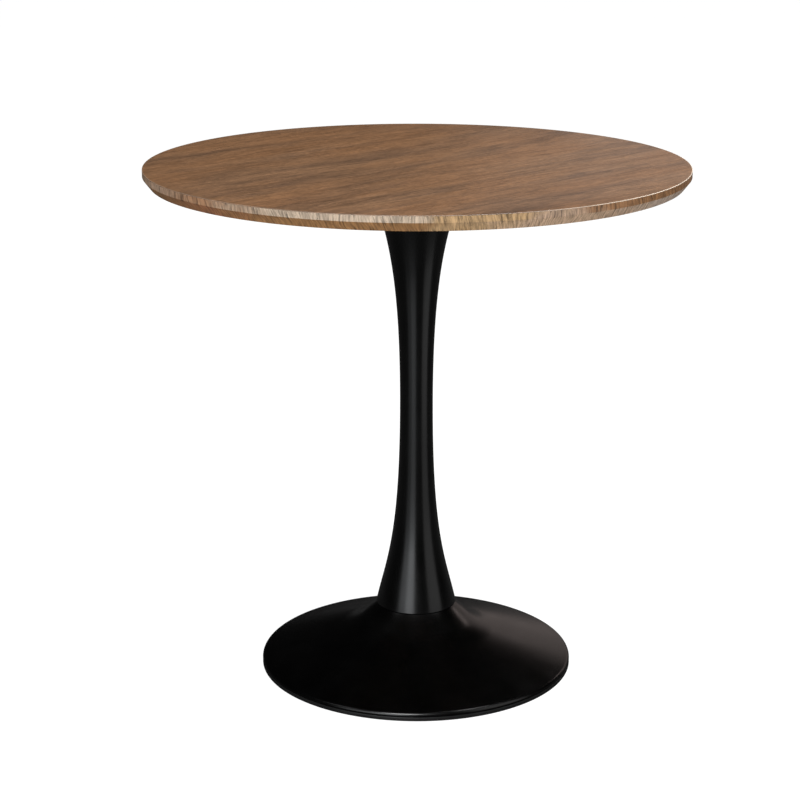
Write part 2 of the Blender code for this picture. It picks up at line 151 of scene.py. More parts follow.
# Core of the top. A round of fibreboard, turned to the profile of the edge and bored for the
# six threaded inserts. Veneer hides all of it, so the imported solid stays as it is.


def new_finish(name, roughness, metallic=0.0, specular=0.5):
    """A named finish, its node tree and its shader."""
    finish = bpy.data.materials.new(name)
    finish.use_nodes = True
    shader = finish.node_tree.nodes["Principled BSDF"]
    shader.inputs["Roughness"].default_value = roughness
    shader.inputs["Metallic"].default_value = metallic
    shader.inputs["Specular IOR Level"].default_value = specular
    return finish, finish.node_tree, shader


def add_node(tree, kind, inputs=None, **settings):
    """A node of that kind with its settings made and its inputs set or linked."""
    made = tree.nodes.new("ShaderNode" + kind)
    for key, value in settings.items():
        setattr(made, key, value)
    for key, value in (inputs or {}).items():
        if isinstance(value, bpy.types.NodeSocket):
            tree.links.new(value, made.inputs[key])
        else:
            made.inputs[key].default_value = value
    return made


def stretched(tree, size, turn=0.0):
    """Object coordinates turned about the table's axis and divided by a size in metres."""
    place = add_node(tree, "TexCoord").outputs["Object"]
    return add_node(tree, "Mapping", {
        "Vector": place, "Rotation": (0.0, 0.0, turn), "Scale": size,
    }, vector_type="TEXTURE").outputs["Vector"]


def noise(tree, vector, detail=2.0, roughness=0.5):
    return add_node(tree, "TexNoise", {
        "Vector": vector, "Scale": 1.0, "Detail": detail, "Roughness": roughness,
    }).outputs["Fac"]


def times(tree, first, second):
    return add_node(tree, "Math", {0: first, 1: second}, operation="MULTIPLY").outputs["Value"]


def shaded(tree, tone, shade):
    """A colour made darker or lighter by a factor."""
    grey = add_node(tree, "CombineColor", {"Red": shade, "Green": shade, "Blue": shade})
    return blend(tree, 1.0, tone, grey.outputs["Color"], "MULTIPLY")


def remap(tree, value, low, high, to_low=0.0, to_high=1.0):
    return add_node(tree, "MapRange", {
        "Value": value, "From Min": low, "From Max": high, "To Min": to_low, "To Max": to_high,
    }).outputs["Result"]


def blend(tree, share, under, over, mode="MIX"):
    """Two colours mixed; each is a socket or a plain (r, g, b)."""
    mix = tree.nodes.new("ShaderNodeMix")
    mix.data_type = "RGBA"
    mix.blend_type = mode
    for index, value in ((0, share), (6, under), (7, over)):
        if isinstance(value, bpy.types.NodeSocket):
            tree.links.new(value, mix.inputs[index])
        elif index == 0:
            mix.inputs[index].default_value = value
        else:
            mix.inputs[index].default_value = (*value, 1.0)
    return mix.outputs[2]


def add_relief(tree, shader, height, depth, strength=1.0):
    """Fine relief in metres of depth, on the shader's normal."""
    bump = add_node(tree, "Bump", {"Height": height, "Distance": depth, "Strength": strength})
    tree.links.new(bump.outputs["Normal"], shader.inputs["Normal"])


def dress(node, finish):
    """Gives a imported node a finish."""
    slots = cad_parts[node].data.materials
    if len(slots):
        slots[0] = finish
    else:
        slots.append(finish)


fibreboard, tree, shader = new_finish("fibreboard", 0.85, specular=0.2)
fibres = noise(tree, stretched(tree, (0.0012, 0.0012, 0.0004)), detail=4.0)
clumps = noise(tree, stretched(tree, (0.012, 0.012, 0.003)))
tone = blend(tree, remap(tree, fibres, 0.35, 0.65), (0.30, 0.20, 0.12), (0.47, 0.34, 0.21))
tone = blend(tree, remap(tree, clumps, 0.3, 0.7, 0.0, 0.35), tone, (0.36, 0.24, 0.14))
tree.links.new(tone, shader.inputs["Base Color"])
add_relief(tree, shader, fibres, 0.0002)
dress("top_core", fibreboard)

# Face veneer. One sheet of walnut 0.8 mm thick, its grain running corner-wise across the round,
# pressed on the core and eased at the rim with fine paper, then given a thin satin lacquer.
GRAIN_TURN = math.radians(46)
ROUND_SIDES = 256
MERGE_GAP = 0.000004
EASED_EDGE = 0.0006
EASED_ROWS = 4
JOINT_LINE = 0.00005
face_low, face_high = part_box("top_veneer")
top_radius = face_high.x


def turn_piece(name, section, sides=ROUND_SIDES):
    """A turned piece: its section of (radius, height), drawn edge by edge and spun."""
    bpy.ops.object.select_all(action="DESELECT")
    bpy.ops.mesh.primitive_plane_add(size=0.001, location=(section[0][0], 0.0, section[0][1]))
    piece = bpy.context.object
    piece.name = name
    piece.data.name = name
    bpy.ops.object.transform_apply(location=True, rotation=True, scale=True)
    bpy.ops.object.mode_set(mode="EDIT")
    bpy.ops.mesh.select_all(action="SELECT")
    bpy.ops.mesh.merge(type="CENTER")
    for (near, low), (far, high) in zip(section, section[1:]):
        bpy.ops.mesh.extrude_vertices_move(
            TRANSFORM_OT_translate={"value": (far - near, 0.0, high - low)})
    bpy.ops.mesh.select_all(action="SELECT")
    bpy.ops.mesh.spin(steps=sides, angle=math.tau, center=(0.0, 0.0, 0.0), axis=(0.0, 0.0, 1.0))
    bpy.ops.mesh.select_all(action="SELECT")
    bpy.ops.mesh.remove_doubles(threshold=MERGE_GAP)
    bpy.ops.mesh.normals_make_consistent(inside=False)
    bpy.ops.object.mode_set(mode="OBJECT")
    return piece


def finish_piece(piece, finish, angle=35.0):
    """Smooth shading up to an angle, and the finish."""
    piece.data.materials.clear()
    piece.data.materials.append(finish)
    bpy.ops.object.select_all(action="DESELECT")
    piece.select_set(True)
    bpy.context.view_layer.objects.active = piece
    bpy.ops.object.shade_smooth_by_angle(angle=math.radians(angle))


def arc(centre, radius, start, end, rows):
    """Points of an arc in a section, from one angle in degrees to another."""
    points = []
    for row in range(rows + 1):
        angle = math.radians(start + (end - start) * row / rows)
        points.append((centre[0] + radius * math.cos(angle), centre[1] + radius * math.sin(angle)))
    return points


def walnut(name, dark, light, amber, roughness, specular=0.5, arris_highlight=None):
    """Straight-grained veneer: streaks over a drift of hue, dark lines, hair lines and pores.

    The last argument is (radius, colour) of a painted highlight laid pale along the arris,
    strongest towards the right-hand side."""
    finish, tree, shader = new_finish(name, roughness, specular=specular)
    flat = stretched(tree, (1.0, 1.0, 1.0), GRAIN_TURN)
    bow = noise(tree, stretched(tree, (0.30, 0.09, 1.0), GRAIN_TURN), detail=2.0)
    bend = add_node(tree, "CombineXYZ", {"Y": remap(tree, bow, 0.3, 0.7, -0.009, 0.009)})
    sway = add_node(tree, "VectorMath", {0: flat, 1: bend.outputs["Vector"]}, operation="ADD")

    def along(length, width, shift=0.0):
        return add_node(tree, "Mapping", {
            "Vector": sway.outputs["Vector"], "Location": (shift, shift, 0.0),
            "Scale": (length, width, 1.0),
        }, vector_type="TEXTURE").outputs["Vector"]

    broad = noise(tree, along(0.24, 0.030), detail=4.0, roughness=0.6)
    streaks = noise(tree, along(0.11, 0.0100, 3.1), detail=3.0, roughness=0.6)
    strong = noise(tree, along(0.12, 0.0065, 11.4), detail=2.0)
    hairs = noise(tree, along(0.045, 0.0050, 5.7), detail=3.0, roughness=0.7)
    pores = noise(tree, along(0.0075, 0.0034, 1.3), detail=2.0)
    drift = noise(tree, along(0.28, 0.075, 8.2), detail=2.0)
    tone = blend(tree, remap(tree, broad, 0.28, 0.62), dark, light)
    tone = blend(tree, remap(tree, drift, 0.42, 0.62, 0.0, 0.6), tone, amber)
    tone = blend(tree, remap(tree, streaks, 0.50, 0.68, 0.0, 0.30), tone, dark)
    shade = times(tree, remap(tree, hairs, 0.34, 0.66, 0.76, 1.20),
                  remap(tree, pores, 0.35, 0.66, 1.12, 0.80))
    shade = times(tree, shade, remap(tree, strong, 0.60, 0.70, 1.0, 0.78))
    tone = shaded(tree, tone, shade)
    # Painted highlight: the arris is coloured pale near the rim, more so towards the right-hand
    # side.
    if arris_highlight:
        radius, highlight_tone = arris_highlight
        spot = add_node(tree, "SeparateXYZ", {0: add_node(tree, "TexCoord").outputs["Object"]})
        ground = add_node(tree, "CombineXYZ", {"X": spot.outputs["X"], "Y": spot.outputs["Y"]})
        reach = add_node(tree, "VectorMath", {0: ground.outputs["Vector"]}, operation="LENGTH")
        rim = remap(tree, reach.outputs["Value"], radius - 2 * EASED_EDGE, radius - 0.0005)
        side = remap(tree, spot.outputs["X"], 0.12, 0.30, 0.12, 0.80)
        tone = blend(tree, times(tree, rim, side), tone, highlight_tone)
    tree.links.new(tone, shader.inputs["Base Color"])
    tree.links.new(remap(tree, streaks, 0.3, 0.7, roughness - 0.04, roughness + 0.05),
                   shader.inputs["Roughness"])
    add_relief(tree, shader, shade, 0.00006, 0.6)
    return finish


# Colour of the painted highlight along the right-hand arris of the face veneer.
ARRIS_HIGHLIGHT_TONE = (0.80, 0.68, 0.56)
face_walnut = walnut("face_walnut", (0.074, 0.040, 0.022), (0.168, 0.090, 0.046),
                     (0.172, 0.083, 0.036), 0.36, specular=0.42, arris_highlight=(top_radius, ARRIS_HIGHLIGHT_TONE))
face_sheet = turn_piece("face_sheet", [
    (0.0, face_high.z), (0.1, face_high.z), (0.2, face_high.z), (0.3, face_high.z),
    *arc((top_radius - EASED_EDGE, face_high.z - EASED_EDGE), EASED_EDGE, 90, 0, EASED_ROWS),
    (top_radius, face_low.z), (0.3, face_low.z), (0.0, face_low.z),
])
finish_piece(face_sheet, face_walnut, 50.0)
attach(face_sheet, "root")
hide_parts("top_veneer")

# Edge band. A 1 mm strip of walnut glued round the upright edge with its grain standing, so fine
# slanting lines cross it; its two ends meet in a butt joint at the back.
band_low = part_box("edge_band")[0]
EDGE_STRIP = 0.001
EDGE_LEAN = 0.18


def wrap_map(piece, radius):
    """A UV map in metres: along the rim from the front, against height."""
    layer = piece.data.uv_layers.new(name="wrap")
    for face in piece.data.polygons:
        middle = math.atan2(face.center.x, -face.center.y)
        for loop in face.loop_indices:
            spot = piece.data.vertices[piece.data.loops[loop].vertex_index].co
            turn = math.atan2(spot.x, -spot.y)
            turn += math.tau * round((middle - turn) / math.tau)
            layer.data[loop].uv = (turn * radius, spot.z)


def edge_walnut(name, lengths, roughness):
    """Short-grain walnut strip: crisp slanting hair lines over colours set along the rim, partly
    the wood's own hues and partly painted light, shade and sheen.

    Each length is (metres along the rim from the front, colour)."""
    finish, tree, shader = new_finish(name, roughness, specular=0.4)
    wrap = add_node(tree, "UVMap", uv_map="wrap").outputs["UV"]

    def scaled(vector, width, height, shift=0.0):
        return add_node(tree, "Mapping", {
            "Vector": vector, "Location": (shift, 0.0, 0.0), "Scale": (width, height, 1.0),
        }, vector_type="TEXTURE").outputs["Vector"]

    def total(first, second):
        return add_node(tree, "Math", {0: first, 1: second}, operation="ADD").outputs["Value"]

    parts = add_node(tree, "SeparateXYZ", {"Vector": wrap})
    swirl = noise(tree, scaled(wrap, 0.060, 0.035, 2.0), detail=1.0)
    lean = total(parts.outputs["X"], times(tree, parts.outputs["Y"], EDGE_LEAN))
    lean = total(lean, remap(tree, swirl, 0.3, 0.7, -0.004, 0.004))
    grain = add_node(tree, "CombineXYZ", {"X": lean, "Y": parts.outputs["Y"]}).outputs["Vector"]
    hairs = noise(tree, scaled(grain, 0.0030, 0.022), detail=2.0, roughness=0.7)
    dark_lines = noise(tree, scaled(grain, 0.0030, 0.022, 1.0), detail=1.0)
    streaks = noise(tree, scaled(grain, 0.0110, 0.060, 4.0), detail=2.0)
    wander = noise(tree, scaled(grain, 0.040, 0.030, 6.3), detail=3.0)
    specks = noise(tree, scaled(wrap, 0.0030, 0.0016, 9.0), detail=1.0)
    reach = math.pi * top_radius
    place = total(parts.outputs["X"], remap(tree, wander, 0.25, 0.75, -0.045, 0.045))
    # Colours along the rim: the wood's hue changes, with painted light, shade and sheen set among
    # them.
    hue = tree.nodes.new("ShaderNodeValToRGB")
    tree.links.new(remap(tree, place, -reach, reach), hue.inputs["Fac"])
    while len(hue.color_ramp.elements) < len(lengths):
        hue.color_ramp.elements.new(0.5)
    for stop, (metres, colour) in zip(hue.color_ramp.elements, lengths):
        stop.position = (metres + reach) / (2 * reach)
        stop.color = (*colour, 1.0)
    shade = times(tree, remap(tree, hairs, 0.36, 0.64, 0.62, 1.26),
                  remap(tree, streaks, 0.35, 0.65, 0.88, 1.06))
    shade = times(tree, shade, remap(tree, dark_lines, 0.60, 0.65, 1.0, 0.52))
    shade = times(tree, shade, remap(tree, specks, 0.69, 0.75, 1.0, 0.45))
    tree.links.new(shaded(tree, hue.outputs["Color"], shade), shader.inputs["Base Color"])
    add_relief(tree, shader, shade, 0.00008, 0.6)
    return finish


# The band's stops are partly the wood's own hue patches; the pale stretch just left of the front
# is a painted sheen.
RED_WOOD = (0.34, 0.180, 0.095)
PALE_HUE_AND_SHEEN = (0.50, 0.385, 0.280)
GOLD_WOOD = (0.47, 0.300, 0.150)
PINK_WOOD = (0.44, 0.30, 0.205)
BROWN_WOOD = (0.30, 0.150, 0.065)
band_walnut = edge_walnut("band_walnut", [
    (-1.15, PALE_HUE_AND_SHEEN), (-0.90, RED_WOOD), (-0.60, GOLD_WOOD), (-0.46, PINK_WOOD),
    (-0.30, RED_WOOD), (-0.20, PALE_HUE_AND_SHEEN), (-0.02, PALE_HUE_AND_SHEEN), (0.03, GOLD_WOOD),
    (0.11, GOLD_WOOD), (0.19, PINK_WOOD), (0.27, BROWN_WOOD), (0.50, BROWN_WOOD),
    (0.70, PALE_HUE_AND_SHEEN), (0.95, RED_WOOD), (1.15, PALE_HUE_AND_SHEEN),
], 0.50)
band_top = face_low.z - JOINT_LINE
band = turn_piece("edge_strip", [
    (top_radius - EDGE_STRIP, band_top), (top_radius, band_top), (top_radius, band_low.z),
    (top_radius - EDGE_STRIP, band_low.z), (top_radius - EDGE_STRIP, band_top),
])
wrap_map(band, top_radius)
finish_piece(band, band_walnut)
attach(band, "root")
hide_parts("edge_band")

# Chamfer strip. The same walnut on the slope under the edge, cut from the next length of the
# sheet, so its lines carry on from the band's above.
strip_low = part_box("chamfer_strip")[0]
backing_low, backing_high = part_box("backing_veneer")
CHAMFER_INSET = 0.0091
chamfer_foot = top_radius - CHAMFER_INSET
strip_top = band_low.z - JOINT_LINE
backing_radius = backing_high.x
# Painted light and shade in the chamfer's stops: darker, more orange on the left half as painted
# shade; rose as painted light and grey as a painted sheen on the right.
DEEP_WOOD = (0.31, 0.130, 0.058)
TAN_WOOD = (0.32, 0.162, 0.062)
SHEEN_GREY_WOOD = (0.58, 0.44, 0.34)
LIT_ROSE_WOOD = (0.55, 0.37, 0.24)
chamfer_walnut = edge_walnut("chamfer_walnut", [
    (-1.15, SHEEN_GREY_WOOD), (-0.80, TAN_WOOD), (-0.45, TAN_WOOD), (-0.30, DEEP_WOOD),
    (-0.20, TAN_WOOD), (-0.02, TAN_WOOD), (0.06, GOLD_WOOD), (0.14, LIT_ROSE_WOOD),
    (0.28, LIT_ROSE_WOOD), (0.38, SHEEN_GREY_WOOD), (0.60, SHEEN_GREY_WOOD), (0.85, TAN_WOOD),
    (1.15, SHEEN_GREY_WOOD),
], 0.50)
inner_shift = chamfer_foot - backing_radius - JOINT_LINE
chamfer = turn_piece("slope_strip", [
    (top_radius, strip_top), (chamfer_foot, strip_low.z),
    (chamfer_foot - inner_shift, strip_low.z), (top_radius - inner_shift, strip_top),
    (top_radius, strip_top),
])
wrap_map(chamfer, top_radius)
finish_piece(chamfer, chamfer_walnut)
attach(chamfer, "root")
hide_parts("chamfer_strip")

# Backing veneer. A plainer sheet under the core that keeps the top flat, coloured near black as
# painted shade for the underside; it is bored with the core for the six inserts.
INSERT_COUNT = 6
SCREW_CIRCLE = 0.200
SEAT_GAP = 0.0003
DRILL_REACH = 0.001
insert_low, insert_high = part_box("threaded_insert_1")
insert_bore = (insert_high.y - insert_low.y) / 2 + SEAT_GAP


def ring_spots(circle, count=INSERT_COUNT):
    """Centres of a ring of like parts, the first half a step from the X axis."""
    angles = [math.tau * (index + 0.5) / count for index in range(count)]
    return [(circle / 2 * math.cos(angle), circle / 2 * math.sin(angle)) for angle in angles]


def bore_holes(piece, spots, radius, low, high, sides=32):
    """Drills straight holes through a piece that lies between two heights."""
    bottom, top = low - DRILL_REACH, high + DRILL_REACH
    bpy.ops.object.select_all(action="DESELECT")
    cutters = []
    for x, y in spots:
        bpy.ops.mesh.primitive_cylinder_add(
            vertices=sides, radius=radius, depth=top - bottom,
            location=(x, y, (top + bottom) / 2))
        cutters.append(bpy.context.object)
    for cutter in cutters:
        cutter.select_set(True)
    if len(cutters) > 1:
        bpy.ops.object.join()
    cut_with(piece, bpy.context.object)


def cut_with(piece, cutter):
    """Takes a cutter out of a piece, then throws the cutter away."""
    bpy.ops.object.select_all(action="DESELECT")
    bpy.context.view_layer.objects.active = piece
    piece.select_set(True)
    cut = piece.modifiers.new("cut", "BOOLEAN")
    cut.operation = "DIFFERENCE"
    cut.solver = "EXACT"
    cut.object = cutter
    bpy.ops.object.modifier_apply(modifier=cut.name)
    bpy.data.objects.remove(cutter, do_unlink=True)


# Painted shade: near-black colours, so the underside mirrored in the base stays dark.
backing_walnut = walnut("backing_walnut", (0.030, 0.019, 0.013), (0.055, 0.034, 0.022),
                        (0.060, 0.034, 0.020), 0.55, specular=0.3)
backing = turn_piece("backing_sheet", [
    (0.0, backing_high.z), (backing_radius, backing_high.z),
    (backing_radius, backing_low.z), (0.0, backing_low.z),
])
bore_holes(backing, ring_spots(SCREW_CIRCLE), insert_bore, backing_low.z, backing_high.z)
finish_piece(backing, backing_walnut)
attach(backing, "root")
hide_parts("backing_veneer")

# Threaded inserts. Six zinc-plated steel sleeves, screwed and glued into the core before the
# backing is bored; the mounting plate covers them.


def bright_metal(name, dark, light, roughness, turned=0.0004):
    """Bare or plated metal with fine turning lines and cloudy, slightly uneven gloss."""
    finish, tree, shader = new_finish(name, roughness, metallic=1.0)
    lines = noise(tree, stretched(tree, (0.02, 0.02, turned)), detail=2.0)
    clouds = noise(tree, stretched(tree, (0.006, 0.006, 0.006)), detail=3.0)
    tone = blend(tree, remap(tree, clouds, 0.3, 0.7), dark, light)
    tree.links.new(tone, shader.inputs["Base Color"])
    tree.links.new(remap(tree, clouds, 0.3, 0.7, roughness - 0.07, roughness + 0.08),
                   shader.inputs["Roughness"])
    add_relief(tree, shader, lines, 0.00003, 0.5)
    return finish


zinc = bright_metal("zinc_plate", (0.42, 0.43, 0.43), (0.62, 0.62, 0.60), 0.38)
for index in range(INSERT_COUNT):
    dress(f"threaded_insert_{index + 1}", zinc)

# Mounting plate. A 5 mm steel disc, turned, drilled and powder coated matt black, that carries
# the top on the stem.
plate_low, plate_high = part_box("mounting_plate")
plate_radius = plate_high.x
PLATE_EASE = 0.0008
PLATE_HOLE = 0.004
DUST_COLOUR = (0.05, 0.048, 0.045)


def black_coat(name, tone, roughness, peel, depth, specular=0.5):
    """Black coating: orange-peel relief at its own scale, soft gloss changes and a little dust."""
    finish, tree, shader = new_finish(name, roughness, specular=specular)
    skin = noise(tree, stretched(tree, (peel, peel, peel)), detail=2.0)
    clouds = noise(tree, stretched(tree, (0.04, 0.04, 0.07)), detail=3.0)
    dust = noise(tree, stretched(tree, (0.0011, 0.0011, 0.0011)), detail=1.0)
    pale = tuple(channel * 1.6 + 0.0006 for channel in tone)
    base = blend(tree, remap(tree, clouds, 0.35, 0.70), tone, pale)
    base = blend(tree, remap(tree, dust, 0.74, 0.82, 0.0, 0.25), base, DUST_COLOUR)
    tree.links.new(base, shader.inputs["Base Color"])
    tree.links.new(remap(tree, clouds, 0.3, 0.7, roughness - 0.025, roughness + 0.03),
                   shader.inputs["Roughness"])
    add_relief(tree, shader, skin, depth, 0.5)
    return finish


powder_black = black_coat("powder_black", (0.012, 0.012, 0.012), 0.55, 0.0012, 0.00006)
plate = turn_piece("carrier_plate", [
    (0.0, plate_high.z),
    *arc((plate_radius - PLATE_EASE, plate_high.z - PLATE_EASE), PLATE_EASE, 90, 0, 3),
    *arc((plate_radius - PLATE_EASE, plate_low.z + PLATE_EASE), PLATE_EASE, 0, -90, 3),
    (0.0, plate_low.z),
])
bore_holes(plate, ring_spots(SCREW_CIRCLE), PLATE_HOLE, plate_low.z, plate_high.z)
finish_piece(plate, powder_black)
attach(plate, "root")
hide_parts("mounting_plate")

# Plate screws. Six M6 button-head machine screws in black-oxide steel, with a hexagon socket,
# driven up through the plate into the inserts.
DOME_ROWS = 8


def button_screw(name, head_radius, head_height, shank_radius, length, socket, top):
    """One screw on the axis, head down, with its shank going up from the seat at top."""
    dome = []
    for row in range(DOME_ROWS + 1):
        share = row / DOME_ROWS
        dome.append((head_radius * math.cos(math.radians(72 * share)) ** 0.8,
                     top - head_height * (0.25 + 0.75 * math.sin(math.radians(90 * share)))))
    screw = turn_piece(name, [
        (0.0, top + length), (shank_radius * 0.7, top + length),
        (shank_radius, top + length - shank_radius * 0.4), (shank_radius, top),
        (head_radius * 0.97, top), (head_radius, top - head_height * 0.05), *dome,
        (0.0, top - head_height),
    ], 32)
    bpy.ops.mesh.primitive_cylinder_add(
        vertices=6, radius=socket / 2 / math.cos(math.pi / 6), depth=head_height * 1.2,
        location=(0.0, 0.0, top - head_height))
    cut_with(screw, bpy.context.object)
    return screw


def copy_to(master, name, spot, turn):
    """A copy with its own mesh, turned and set down at its place."""
    twin = master.copy()
    twin.data = master.data.copy()
    twin.name = name
    twin.data.name = name
    bpy.context.collection.objects.link(twin)
    bpy.ops.object.select_all(action="DESELECT")
    twin.select_set(True)
    bpy.context.view_layer.objects.active = twin
    twin.rotation_euler = (0.0, 0.0, turn)
    twin.location = (*spot, 0.0)
    bpy.ops.object.transform_apply(location=True, rotation=True, scale=True)
    return twin


oxide_steel = bright_metal("oxide_steel", (0.045, 0.045, 0.05), (0.09, 0.09, 0.095),
                           0.36, 0.0002)
screw_low, screw_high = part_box("plate_screw_1")
screw_seat = plate_low.z - SEAT_GAP
M6_HEAD, M6_SHANK, M6_SOCKET = 0.0055, 0.003, 0.004
M6_TURN = 0.7
screw = button_screw("m6_screw", M6_HEAD, screw_seat - screw_low.z, M6_SHANK,
                     screw_high.z - screw_seat, M6_SOCKET, screw_seat)
finish_piece(screw, oxide_steel, 40.0)
for index, spot in enumerate(ring_spots(SCREW_CIRCLE)):
    fixed = copy_to(screw, f"m6_screw_{index + 1}", spot, M6_TURN * index)
    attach(fixed, "root")
    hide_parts(f"plate_screw_{index + 1}")
bpy.data.objects.remove(screw, do_unlink=True)

# Rod boss and stem spigot. Two turned steel rings welded under the plate and coated with it:
# the boss takes the tie rod, the spigot centres the stem's head.
dress("rod_boss", powder_black)
dress("stem_spigot", powder_black)

# Tie rod, clamp nut, washer and centring disc. Plain bright steel, all inside the stem and the
# base, that pull the table together from plate to ballast.
rod_steel = bright_metal("rod_steel", (0.40, 0.40, 0.41), (0.58, 0.58, 0.58), 0.35, 0.0010)
for node in ("tie_rod", "clamp_nut", "clamp_washer", "centring_disc"):
    dress(node, rod_steel)

# Stem. A steel tube spun to an hourglass in one piece, narrowest a little below half its height,
# with a flange turned in at the foot; sprayed satin black inside and out.
stem_low, stem_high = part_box("stem")
head_radius = stem_high.x
WAIST_RADIUS = 0.0237
WAIST_HEIGHT = 0.3988
WAIST_HANDLE = 0.68
FOOT_RADIUS = 0.0583
STEM_WALL = 0.0015
END_SLOPE = 0.216
END_HANDLE = 0.2
STEM_ROWS = 36
FOOT_FLANGE = 0.012


def stem_half(end_radius, length):
    """Outline from the waist to one end, as (radius, distance)."""
    knots = [
        Vector((WAIST_RADIUS, 0.0)),
        Vector((WAIST_RADIUS, WAIST_HANDLE * length)),
        Vector((end_radius - END_SLOPE * END_HANDLE * length, (1 - END_HANDLE) * length)),
        Vector((end_radius, length)),
    ]
    return [(point.x, point.y) for point in interpolate_bezier(*knots, STEM_ROWS + 1)]


def thicken(line, wall):
    """The line moved square to itself by a wall, towards its right-hand side."""
    moved = []
    for index, (radius, height) in enumerate(line):
        before = Vector(line[max(index - 1, 0)])
        after = Vector(line[min(index + 1, len(line) - 1)])
        along = (after - before).normalized()
        moved.append((radius + along.y * wall, height - along.x * wall))
    return moved


satin_black = black_coat("satin_black", (0.0006, 0.0006, 0.0006), 0.24, 0.0022, 0.000010, 0.45)
upper = stem_half(head_radius, stem_high.z - WAIST_HEIGHT)
lower = stem_half(FOOT_RADIUS, WAIST_HEIGHT - stem_low.z)
stem_line = [(radius, WAIST_HEIGHT + rise) for radius, rise in upper[::-1]]
stem_line += [(radius, WAIST_HEIGHT - drop) for radius, drop in lower[1:]]
stem_wall = thicken(stem_line, STEM_WALL)
stem_wall[0] = (head_radius - STEM_WALL * math.hypot(1, END_SLOPE), stem_high.z)
flange_top = stem_low.z + STEM_WALL
stem_wall = [point for point in stem_wall if point[1] > flange_top]
foot_opening = FOOT_RADIUS - FOOT_FLANGE
stem = turn_piece("spun_stem", [
    *stem_line, (foot_opening, stem_low.z), (foot_opening, flange_top),
    (stem_wall[-1][0] - 0.0003, flange_top), *stem_wall[::-1], stem_line[0],
], 128)
finish_piece(stem, satin_black, 60.0)
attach(stem, "root")
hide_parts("stem")

# Neck gasket. A 1 mm black rubber washer, set back a little, that shows as the dark seam between
# the stem's foot and the base.
gasket_low, gasket_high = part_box("neck_gasket")
GASKET_WIDTH = 0.009
gasket_outer = gasket_high.x
gasket_bore = gasket_outer - GASKET_WIDTH
gasket_middle = (gasket_low.z + gasket_high.z) / 2
gasket_half = (gasket_high.z - gasket_low.z) / 2
soft_black = black_coat("soft_black", (0.006, 0.006, 0.006), 0.75, 0.0008, 0.00004, 0.3)
gasket = turn_piece("neck_seal", [
    (gasket_bore, gasket_low.z), (gasket_bore, gasket_high.z),
    *arc((gasket_outer - gasket_half, gasket_middle), gasket_half, 90, -90, 6),
    (gasket_bore, gasket_low.z),
], 128)
finish_piece(gasket, soft_black, 50.0)
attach(gasket, "root")
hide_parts("neck_gasket")

# Base cover. A steel disc spun to a low trumpet: a flat neck, a straight flare, a soft fillet
# into a shallow dome and a rim rolled down to the floor; sprayed satin black like the stem.
cover_low, cover_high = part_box("base_cover")
base_radius = cover_high.x
NECK_RADIUS = 0.0580
NECK_CORNER = 0.0012
FLARE_SLOPE = math.tan(math.radians(43))
FLARE_RUN = 0.0365
FILLET_REACH = 0.022
RIM_TILT = 18.5
RIM_BEND = 0.0060
RIM_STRAIGHT = 0.0007
BASE_WALL = 0.0015


def pulled_curve(start, pull, end, rows):
    """Points of a curve whose two ends both head for a pull point, without its start."""
    points = []
    for row in range(1, rows + 1):
        share = row / rows
        point = start.lerp(pull, share).lerp(pull.lerp(end, share), share)
        points.append((point.x, point.y))
    return points


NECK_ROWS = 6
FILLET_ROWS = 16
CROWN_ROWS = 20
BEND_ROWS = 14
bend_centre = (base_radius - RIM_BEND, cover_low.z + RIM_STRAIGHT)
rim_bend = arc(bend_centre, RIM_BEND, 90 - RIM_TILT, 0, BEND_ROWS)
dome_end = Vector(rim_bend[0])
flare_start = Vector((NECK_RADIUS, cover_high.z - NECK_CORNER))
corner = flare_start + FLARE_RUN * Vector((1.0, -FLARE_SLOPE))
rim_slope = math.tan(math.radians(RIM_TILT))
crown = dome_end + (dome_end.x - corner.x) / 2 * Vector((-1.0, rim_slope))
fillet_start = corner + FILLET_REACH * (flare_start - corner).normalized()
fillet_end = corner + FILLET_REACH * (crown - corner).normalized()
base_line = [
    (foot_opening, cover_high.z),
    *arc((NECK_RADIUS - NECK_CORNER, cover_high.z - NECK_CORNER), NECK_CORNER, 90, 35, 4),
    tuple(flare_start.lerp(fillet_start, 0.06)), tuple(flare_start.lerp(fillet_start, 0.5)),
    tuple(fillet_start),
    *pulled_curve(fillet_start, corner, fillet_end, FILLET_ROWS),
    *pulled_curve(fillet_end, crown, dome_end, CROWN_ROWS),
    *rim_bend[1:], (base_radius, cover_low.z),
]
base_wall = thicken(base_line, BASE_WALL)
base_wall[:NECK_ROWS] = [
    (foot_opening, cover_high.z - BASE_WALL),
    (NECK_RADIUS - NECK_CORNER - 0.0006, cover_high.z - BASE_WALL),
]
cover = turn_piece("spun_base", [*base_line, *base_wall[::-1], base_line[0]], 192)
finish_piece(cover, satin_black, 60.0)
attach(cover, "root")
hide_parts("base_cover")

# Ballast. A grey-iron casting under the base cover, open ring and hub, left as cast apart from
# the faces that are turned to seat; the cover and the bottom plate hide it.
cast_iron, tree, shader = new_finish("cast_iron", 0.7, metallic=0.8)
sand = noise(tree, stretched(tree, (0.0016, 0.0016, 0.0016)), detail=4.0, roughness=0.65)
scale_marks = noise(tree, stretched(tree, (0.015, 0.015, 0.015)), detail=3.0)
tone = blend(tree, remap(tree, sand, 0.3, 0.7), (0.045, 0.043, 0.042), (0.10, 0.095, 0.09))
tone = blend(tree, remap(tree, scale_marks, 0.58, 0.75, 0.0, 0.4), tone, (0.10, 0.055, 0.03))
tree.links.new(tone, shader.inputs["Base Color"])
add_relief(tree, shader, sand, 0.0004)
dress("ballast", cast_iron)

